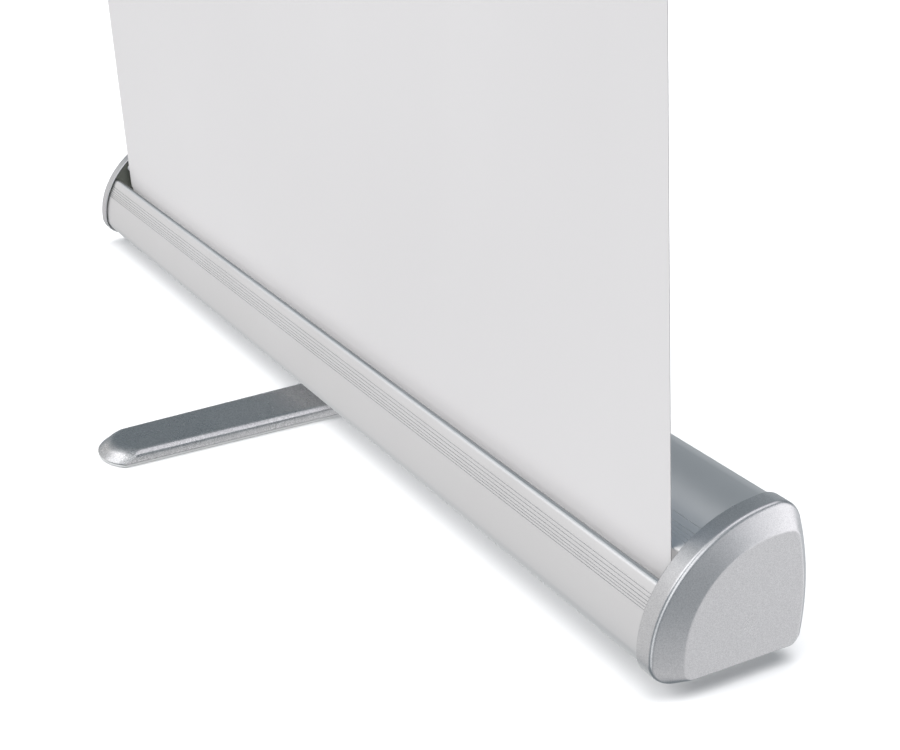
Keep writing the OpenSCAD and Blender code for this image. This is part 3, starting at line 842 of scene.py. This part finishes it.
# How the lowest level's edge is broken, from below up, as changes to its numbers
FOOT_EDGE = [(0, 0.9, 0.9, 0), (0.15, 0.35, 0.35, 0), (0.8, 0, 0, 0)]
BOLT_POCKET = circle((0, 0), BOLT_HEAD_R + CLEAR, 6)


def foot_plan(side_in, nose_in, nose_r):
    """Plan of the foot about its pivot, from its right side round the heel to its nose."""
    half_w = NOSE_HALF_W - side_in
    spread = math.degrees(math.asin(half_w / nose_r))
    nose = (0, nose_r + nose_in - FOOT_LEN)
    heel = arc((0, 0), HEEL_R - side_in, 0, 180, 5)
    return heel + arc(nose, nose_r, 270 - spread, 270 + spread, spread / 10)


def foot_rings():
    """The foot's levels, with its bottom edge broken and each turn to the next level made round."""
    levels = [Vector(level[:4]) for level in FOOT_LEVELS]
    rows = [levels[0] + Vector(change) for change in FOOT_EDGE]
    for i in (1, 2):
        soft = FOOT_LEVELS[i][4]
        before = levels[i].lerp(levels[i - 1], soft)
        after = levels[i].lerp(levels[i + 1], soft)
        rows += bend(before, levels[i], after, 4)
    return rows + [levels[3]]


def foot_casting():
    """The foot, with a pocket for the bolt's head, its bolt hole, and the track of the stop pin."""
    shape = Shape(ON_FOOT)
    shape.shut([shape.ring(foot_plan(*row[1:]), row[0]) for row in foot_rings()])
    cutter = Shape(ON_FOOT)
    cutter.bar(BOLT_POCKET, -1, 6.3)
    cutter.bar(circle((0, 0), BOLT_R + RUN, 8), 5, 20)
    half_w, past = STOP_R + CLEAR, 7.3
    slot = arc((0, 0), STOP_RING + half_w, -90 - past, past, 4)
    slot += arc((0, 0), STOP_RING - half_w, past, -90 - past, 4)
    track = Shape(ON_FOOT)
    track.bar(slot, 6.5, 20)
    cutter.add(track)
    return piece(combined(shape, cutter), "foot_casting", "foot", finish=FOOT_FINISH)


def sole_pad():
    """The sole under the foot, with its edge rounded and a hole for the bolt's head."""
    shape = Shape(ON_FOOT)
    shape.slab(foot_plan(0.3, 0.3, 32), 0, SOLE_T, 0.9, [BOLT_POCKET])
    return piece(shape, "sole_pad", "foot_sole", finish=SOLE_FINISH)


def rubber_buffers():
    """Four ribbed rubber feet under the cassette."""
    shape = Shape()
    top, pocket_r, pocket_z, rib = corners("rubber_feet")[1].z, 4.2, 5, RUBBER_R - 0.4
    side = [(pocket_r, pocket_z), (pocket_r, 0.4), (4.6, 0), (5.7, 0), (6.4, 0.25), (7.2, 0.9)]
    side += [(RUBBER_R, 1.4), (RUBBER_R, 3.2), (rib, 3.6), (rib, 4.4), (RUBBER_R, 4.8)]
    side += [(RUBBER_R, top - 0.3), (RUBBER_R - 0.3, top), (SCREW_R, top), (SCREW_R, pocket_z)]
    for x, y in rubber_places():
        buffer = Shape(at(x, y, 0))
        buffer.lathe(side, 48, looped=True)
        shape.add(buffer)
    return piece(shape, "rubber_buffers", "rubber_feet")


# ---- Pole ----


def pole_tube(section, radius):
    """A thin tube with its ends turned in a little."""
    low, high = corners(f"pole_{section}")
    shape = Shape(ON_POLE)
    shape.lathe(tube_side(radius, 1.0, 0.35, low.z, high.z), 96, looped=True)
    return piece(shape, f"pole_tube_{section}", f"pole_{section}", finish=POLE_FINISH)


def clamp_collar(place, radius, above_radius, joint, reach):
    """A sleeve round the pole's joint, with a slit neck, and two lugs that reach to the lever's pin."""
    low, high = corners(f"lock_collar_{place}")
    outer = radius + 3.7
    neck = outer - 1.6
    shoulder = joint - 0.5
    shape = Shape(ON_POLE)
    side = rounded([(radius, low.z, 0), (outer, low.z, 1.2), (outer, shoulder, 0.8)], closed=False)
    side += rounded(
        [(outer, shoulder, 0), (neck, joint + 0.3, 0.6), (neck, high.z, 1.2), (above_radius, high.z, 0)],
        closed=False,
    )[1:]
    side += [Vector((above_radius, joint)), Vector((radius, joint))]
    shape.lathe(side, 96, looped=True)
    lug_r, lug_t = 4, 4
    root = radius + 1
    lug = [Vector((lug_r, root)), *arc((0, reach), lug_r, 0, 180), Vector((-lug_r, root))]
    for z in (low.z + 2, high.z - 2 - lug_t):
        plate = Shape(ON_POLE)
        plate.slab(lug, z, z + lug_t, 0.7)
        shape = combined(shape, plate, "UNION")
    cutter = Shape(ON_POLE)
    cutter.bar(circle((0, reach), PIN_R, 12), low.z, high.z + 1)
    slit = [(2, 4), (3.2, 4), (3.2, 24), (2, 24)]
    cutter.bar(slit, joint + 1, high.z + 2)
    return piece(combined(shape, cutter), f"clamp_collar_{place}", f"lock_collar_{place}")


def clamp_lever(place, inner, reach):
    """A lever that wraps round its collar, from the pin's boss to a turned-out thumb end."""
    low, high = corners(f"lock_lever_{place}")
    outer, boss = inner + 2.4, 4
    start = math.degrees(math.asin((outer**2 - reach**2 - boss**2) / (2 * boss * reach)))
    join = Vector((0, reach)) + unit(180 - start) * boss
    side = arc((0, reach), boss, 180 - start, -78)
    side += arc((0, 0), inner, 86, 246, 5)
    thumb_in, thumb_out = unit(248), unit(158)
    tip = inner + 6.4
    grip = [thumb_in * (inner + 0.2), thumb_in * tip, thumb_in * tip + thumb_out * 1.8]
    grip.append(thumb_in * (outer + 0.6) + thumb_out * 1.9)
    side += rounded([(*p, r) for p, r in zip(grip, (0, 0.8, 0.8, 0))], closed=False)
    side += arc((0, 0), outer, 238, heading(join) + 1.5, 5)
    shape = Shape(ON_POLE)
    shape.slab(side, low.z, high.z, 0.6, [circle((0, reach), PIN_R + RUN, 12)])
    return piece(shape, f"clamp_lever_{place}", f"lock_lever_{place}")


def roof(y, inset):
    """Height of the cassette's top surface, drawn in by inset, at a distance behind the graphic."""
    line = [facing(a, inset) for a in steps(150, 5, 0.5)]
    for a, b in zip(line, line[1:]):
        if a.x <= y <= b.x:
            return a.y + (b.y - a.y) * (y - a.x) / (b.x - a.x)
    return line[-1].y


def socket_cup():
    """The pole's socket: a cup inside the cassette, and a thin collar that follows its curved top."""
    shape = Shape(ON_POLE)
    low, _ = corners("pole_socket")
    cup_z, cup_r, collar_r, stem_r = LIFT + 14, SOCKET_R, SOCKET_COLLAR_R, 3.6
    bore, bore_z = POLE_R[0] + RUN, cup_z + 2
    count = 72
    around = [unit(360 * i / count) for i in range(count)]

    def flat(radius, z):
        return shape.ring([u * radius for u in around], z)

    def on_top(radius, inset):
        """A ring on the cassette's top. The collar is drawn in at the back, where that falls away."""
        beyond = max(0.0, radius - cup_r) / (collar_r - cup_r)
        reach = [radius - 1.4 * beyond * max(0.0, u.y) ** 2 for u in around]
        return [shape.point(u.x * r, u.y * r, roof(POLE_Y + u.y * r, inset)) for u, r in zip(around, reach)]

    # Up the stem and the cup, over the collar, and down the bore
    rings = [flat(SCREW_R, low.z), flat(stem_r - 0.2, low.z), flat(stem_r, low.z + 0.3)]
    rings += [flat(stem_r, cup_z), flat(cup_r - 0.5, cup_z), flat(cup_r, cup_z + 0.5), on_top(cup_r, 1.75)]
    rings += [on_top(collar_r - 0.2, 1.78), on_top(collar_r, 1.55), on_top(collar_r - 0.1, 1.0)]
    rings += [on_top(collar_r - 0.5, 0.62), on_top(collar_r - 1.1, 0.42), on_top(bore + 0.4, 0.4)]
    rings += [on_top(bore, 0.8), flat(bore, bore_z), flat(SCREW_R, bore_z)]
    shape.skin(rings, looped=True)
    return piece(shape, "socket_cup", "pole_socket")


# ---- Top rail ----

HINGE = (-1.2, 25)
BEAD_R, HINGE_R, SHELL_R = 1.85, 1.9, 3.1


def upper_crossing(first, first_r, second, second_r):
    """The higher of the two points where two circles cross."""
    a, b = Vector(first), Vector(second)
    gap = (b - a).length
    along = (gap**2 + first_r**2 - second_r**2) / (2 * gap)
    up = math.sqrt(first_r**2 - along**2)
    ahead = (b - a) / gap
    across = Vector((-ahead.y, ahead.x)) * up
    return max(a + ahead * along + across, a + ahead * along - across, key=lambda p: p.y)


def rail_outline():
    """Section of the rail: a box with a rolled top edge and the open socket of the jaw's hinge."""
    crest, crest_r, front, back = (3.6, 27), 3.0, 0.5, 6.6
    meet = upper_crossing(crest, crest_r, HINGE, SHELL_R)
    foot_of_shell = 360 - math.degrees(math.acos((front - HINGE[0]) / SHELL_R))
    side = rounded([(front, 8, 0), (front, 0, 0.5), (back, 0, 0.5), (back, 8, 0)], closed=False)
    side += arc(crest, crest_r, 0, heading(meet - Vector(crest)) % 360)
    side += arc(HINGE, SHELL_R, heading(meet - Vector(HINGE)) % 360, 65)[1:]
    side += arc(HINGE, HINGE_R, 65, -165)
    side += arc(HINGE, SHELL_R, 195, foot_of_shell)
    cavity = rounded([(2, 1.5, 0.4), (5.1, 1.5, 0.4), (5.1, 24.2, 0.4), (2, 24.2, 0.4)])
    return side, cavity


def top_rail():
    low, high = corners("rail_body")
    shape = Shape(ON_RAIL)
    side, cavity = rail_outline()
    shape.bar(side, low.x, high.x, [cavity])
    cutter = Shape(at(0, 0, RAIL_Z, ALONG_Y))
    for x in HANGER_SCREWS_X:
        cutter.bar(circle((x, -12), 1.6, 10), 3, 10)
    return piece(combined(shape, cutter), "top_rail", "rail_body")


def front_jaw():
    """The snap jaw: a front plate with rounded edges, a toe on the film, and the hinge's bead."""
    low, high = corners("rail_jaw")
    out, inside, lip, top = -6.3, -4.7, -0.5, 27.6
    half_arm, arm = 0.6, 170
    reach = math.degrees(math.asin(half_arm / BEAD_R))
    lower = Vector(HINGE) + unit(arm + reach) * BEAD_R
    upper = Vector(HINGE) + unit(arm - reach) * BEAD_R
    under, over = (p + unit(arm) * ((inside - p.x) / unit(arm).x) for p in (lower, upper))
    toe = [(lip, 1, 0), (lip, 1.6, 0.5), (inside, 1.6, 0.8), (*under, 0.3), (*lower, 0)]
    plate = [(*upper, 0), (*over, 0.3), (inside, top, 0.7), (out, top, 0.8), (out, 0, 0.8), (lip, 0, 0.5)]
    side = rounded(toe, closed=False)[1:]
    side += arc(HINGE, BEAD_R, arm + reach, arm + 360 - reach)[1:-1]
    side += rounded([*plate, (lip, 1, 0)], closed=False)
    shape = Shape(ON_RAIL)
    shape.bar(side, low.x, high.x)
    return piece(shape, "front_jaw", "rail_jaw")


# ---- All the pieces ----

profile_piece = cassette_profile()
for hand in (-1, 1):
    end_cap(hand)
pan_screws(
    "cap_screw_set", "end_cap_screws", cap_screw_places(), head_r=3.0, head_h=2.1, shank_r=2.0, shank=8.0
)
film_piece = banner()
leader_winding()
roller()
spring_coil()
foot_piece = foot_casting()
sole_piece = sole_pad()
rubber_buffers()
socket_cup()
for section, tube_r in zip(("bottom", "middle", "top"), POLE_R):
    pole_tube(section, tube_r)
for level, lower_r, upper_r, joint_z in zip(("lower", "upper"), POLE_R, POLE_R[1:], POLE_JOINTS):
    pin_reach = JOINT_AT[f"lock_lever_{level}_turn"].y - POLE_Y
    clamp_collar(level, lower_r, upper_r + CLEAR, joint_z, pin_reach)
    clamp_lever(level, lower_r + 4.1, pin_reach)
top_rail()
front_jaw()
hanger_low, hanger_high = corners("rail_hanger_screws")
hanger_z, pan_h = (hanger_low.z + hanger_high.z) / 2, 1.6
hanger_places = [at(x, hanger_high.y - pan_h, hanger_z, ALONG_Y) for x in HANGER_SCREWS_X]
pan_screws(
    "hanger_screw_set", "rail_hanger_screws", hanger_places, head_r=2.8, head_h=pan_h, shank_r=1.5, shank=5.6
)
for node, radius in (
    ("pole_head", 0.8), ("rail_hanger", 0.6), ("rail_end_cap_left", 0.5), ("rail_end_cap_right", 0.5),
    ("foot_washer", 0.3), ("foot_pivot_bolt", 0.3), ("foot_nut_plate", 0.3), ("foot_lock_nut", 0.3),
    ("pole_bush_lower", 0.15), ("pole_bush_upper", 0.15),
):
    edged(node, f"{node}_finished", radius)

# Reflections leave out these large pieces
for large_piece in (profile_piece, film_piece, foot_piece, sole_piece):
    large_piece.visible_glossy = False

for node_object in frame["nodes"].values():
    if not node_object.hide_render:
        own = node_object.data.materials[0].name
        node_object.data.materials.clear()
        node_object.data.materials.append(FINISHES[own])

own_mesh(film_piece)

# ---- Floor, light and camera ----


def painted_reflection_card():
    """A glowing card that paints a reflection of the film's grey back into the metal behind the film: it shows
    from behind only.
    """
    shape = Shape(ALONG_X)
    line = [(0, PANEL_LOW.z + 5), (0, PANEL_LOW.z + 800)]
    shape.skin([shape.ring(line, x) for x in (PANEL_LOW.x, PANEL_HIGH.x)], closed=False)
    card = object_from(shape.bm, "painted_reflection_card")
    card.data.transform(Matrix.Scale(MM, 4))
    if card.data.polygons[0].normal.y > 0:
        card.data.flip_normals()
    # Painted reflection: the card glows grey-blue as the film's back, and only reflections see it
    f = Finish("painted_reflection_glow", Roughness=0.9, Base_Color=(0.1, 0.1, 0.1, 1), Emission_Strength=1.0)
    painted_reflection_tone = f.tone(f.noise(9.0), (0.20, 0.24, 0.28), (0.22, 0.26, 0.30))
    f.set(Emission_Color=painted_reflection_tone, Alpha=f.node("ShaderNodeNewGeometry").outputs["Backfacing"])
    card.data.materials.append(f.material)
    for ray in ("camera", "diffuse", "shadow", "transmission", "volume_scatter"):
        setattr(card, f"visible_{ray}", False)


def studio_floor():
    """A wide pale floor, level with the feet."""
    shape = Shape()
    reach, cells = 12.0, 24
    bmesh.ops.create_grid(shape.bm, x_segments=cells, y_segments=cells, size=reach)
    floor = object_from(shape.bm, "studio_floor")
    f = Finish("pale_floor", Roughness=0.9)
    tone = f.tone(f.noise(0.8), (0.86, 0.86, 0.86), (0.88, 0.88, 0.88))
    floor.data.materials.append(f.set(Base_Color=tone))
    floor.visible_glossy = False
    floor.visible_diffuse = False


def far_softbox(name, source, width, strength):
    """A wide softbox so far off that it lights the whole scene evenly. The source points at it."""
    light = bpy.data.lights.new(name, "SUN")
    light.angle, light.energy = math.radians(width), strength
    made = bpy.data.objects.new(name, light)
    made.rotation_euler = Vector(source).to_track_quat("Z", "Y").to_euler()
    made.visible_glossy = False
    bpy.context.scene.collection.objects.link(made)
    return made


def linked(name, state, *pieces):
    """A collection for light linking, with the same state for each of these pieces."""
    group = bpy.data.collections.new(name)
    for each in pieces:
        group.objects.link(each)
    for entry in group.collection_objects:
        entry.light_linking.link_state = state
    return group


# Soft panels: (direction, full within and gone beyond so many degrees, colour). The last is a dark card.
PANELS = [
    ((-0.76, -0.64, -0.03), 22, 45, (0.59, 0.545, 0.52)),
    ((-0.42, -0.60, 0.68), 8, 22, (2.0, 1.95, 1.95)),
    ((0.08, 0.26, 0.96), 14, 34, (1.0, 0.95, 0.98)),
    ((0.72, 0.68, 0.10), 10, 29, (1.22, 1.17, 1.19)),
    ((0.64, 0.60, -0.50), 12, 42, (0.66, 0.62, 0.61)),
    ((-0.75, 0.65, 0.0), 5, 40, (0.20, 0.20, 0.20)),
    ((0.69, -0.50, 0.49), 10, 34, (1.5, 1.47, 1.48)),
    ((0.57, -0.76, -0.30), 10, 30, (0.9, 0.88, 0.88)),
    ((0.66, -0.10, -0.74), 10, 32, (0.36, 0.33, 0.32)),
    ((0.15, -0.43, 0.89), 10, 32, (0.5, 0.49, 0.49)),
    ((0.0, 0.88, -0.45), 12, 42, (0.55, 0.54, 0.54)),
    ((-0.75, 0.05, -0.66), 6, 28, (0.5, 0.48, 0.46)),
    ((-0.87, 0.28, 0.39), 6, 18, (-0.11, -0.11, -0.11)),
]
AMBIENT = (0.265, 0.30, 0.325)


def studio_world():
    """Soft panels over a dim room. The camera itself sees plain white behind the floor."""
    world = bpy.data.worlds.new("studio")
    world.use_nodes = True
    tree = world.node_tree
    link, new = tree.links.new, tree.nodes.new
    room = tree.nodes["Background"]
    look = new("ShaderNodeTexCoord").outputs["Generated"]
    total = new("ShaderNodeRGB").outputs[0]
    total.default_value = (*AMBIENT, 1)
    for direction, full, gone, colour in PANELS:
        aim = new("ShaderNodeVectorMath")
        aim.operation = "DOT_PRODUCT"
        aim.inputs[1].default_value = Vector(direction).normalized()
        link(look, aim.inputs[0])
        fall = new("ShaderNodeMapRange")
        fall.interpolation_type = "SMOOTHSTEP"
        fall.inputs["From Min"].default_value = math.cos(math.radians(gone))
        fall.inputs["From Max"].default_value = math.cos(math.radians(full))
        link(aim.outputs["Value"], fall.inputs["Value"])
        add = new("ShaderNodeVectorMath")
        add.operation = "MULTIPLY_ADD"
        add.inputs[1].default_value = colour
        link(fall.outputs["Result"], add.inputs[0])
        link(total, add.inputs[2])
        total = add.outputs["Vector"]
    link(total, room.inputs["Color"])
    white = new("ShaderNodeBackground")
    white.inputs["Color"].default_value = (1, 1, 1, 1)
    path, pick = new("ShaderNodeLightPath"), new("ShaderNodeMixShader")
    link(path.outputs["Is Camera Ray"], pick.inputs["Fac"])
    link(room.outputs["Background"], pick.inputs[1])
    link(white.outputs["Background"], pick.inputs[2])
    link(pick.outputs["Shader"], tree.nodes["World Output"].inputs["Surface"])
    bpy.context.scene.world = world


def camera():
    data = bpy.data.cameras.new("camera")
    data.lens, data.sensor_width = 69.25, 36.0
    data.clip_start, data.clip_end = 0.02, 60.0
    made = bpy.data.objects.new("camera", data)
    made.location = (1.0405, -0.4152, 0.4733)
    made.rotation_euler = Euler([math.radians(a) for a in (67.446, 3.143, 62.534)])
    bpy.context.scene.collection.objects.link(made)
    bpy.context.scene.camera = made


studio_floor()
# A glowing card paints the film's back into the reflections of the metal behind it
painted_reflection_card()
far_softbox("above", (0.06, 0.1, 1.0), 70, 2.3)
# The film and the profile cast no shadow in the front light
front_light = far_softbox("front", (-0.15, -0.78, 0.61), 40, 1.25)
front_passes = linked("front_passes", "EXCLUDE", film_piece, profile_piece)
front_light.light_linking.blocker_collection = front_passes
# This light reaches the profile only, and rakes along its lip
lip_light = far_softbox("lip", (-0.76, -0.14, 0.62), 36, 0.19)
lip_light.visible_glossy = True
lip_light.light_linking.receiver_collection = linked("lip_lights", "INCLUDE", profile_piece)
studio_world()
camera()
bpy.context.scene.view_settings.view_transform = "Standard"
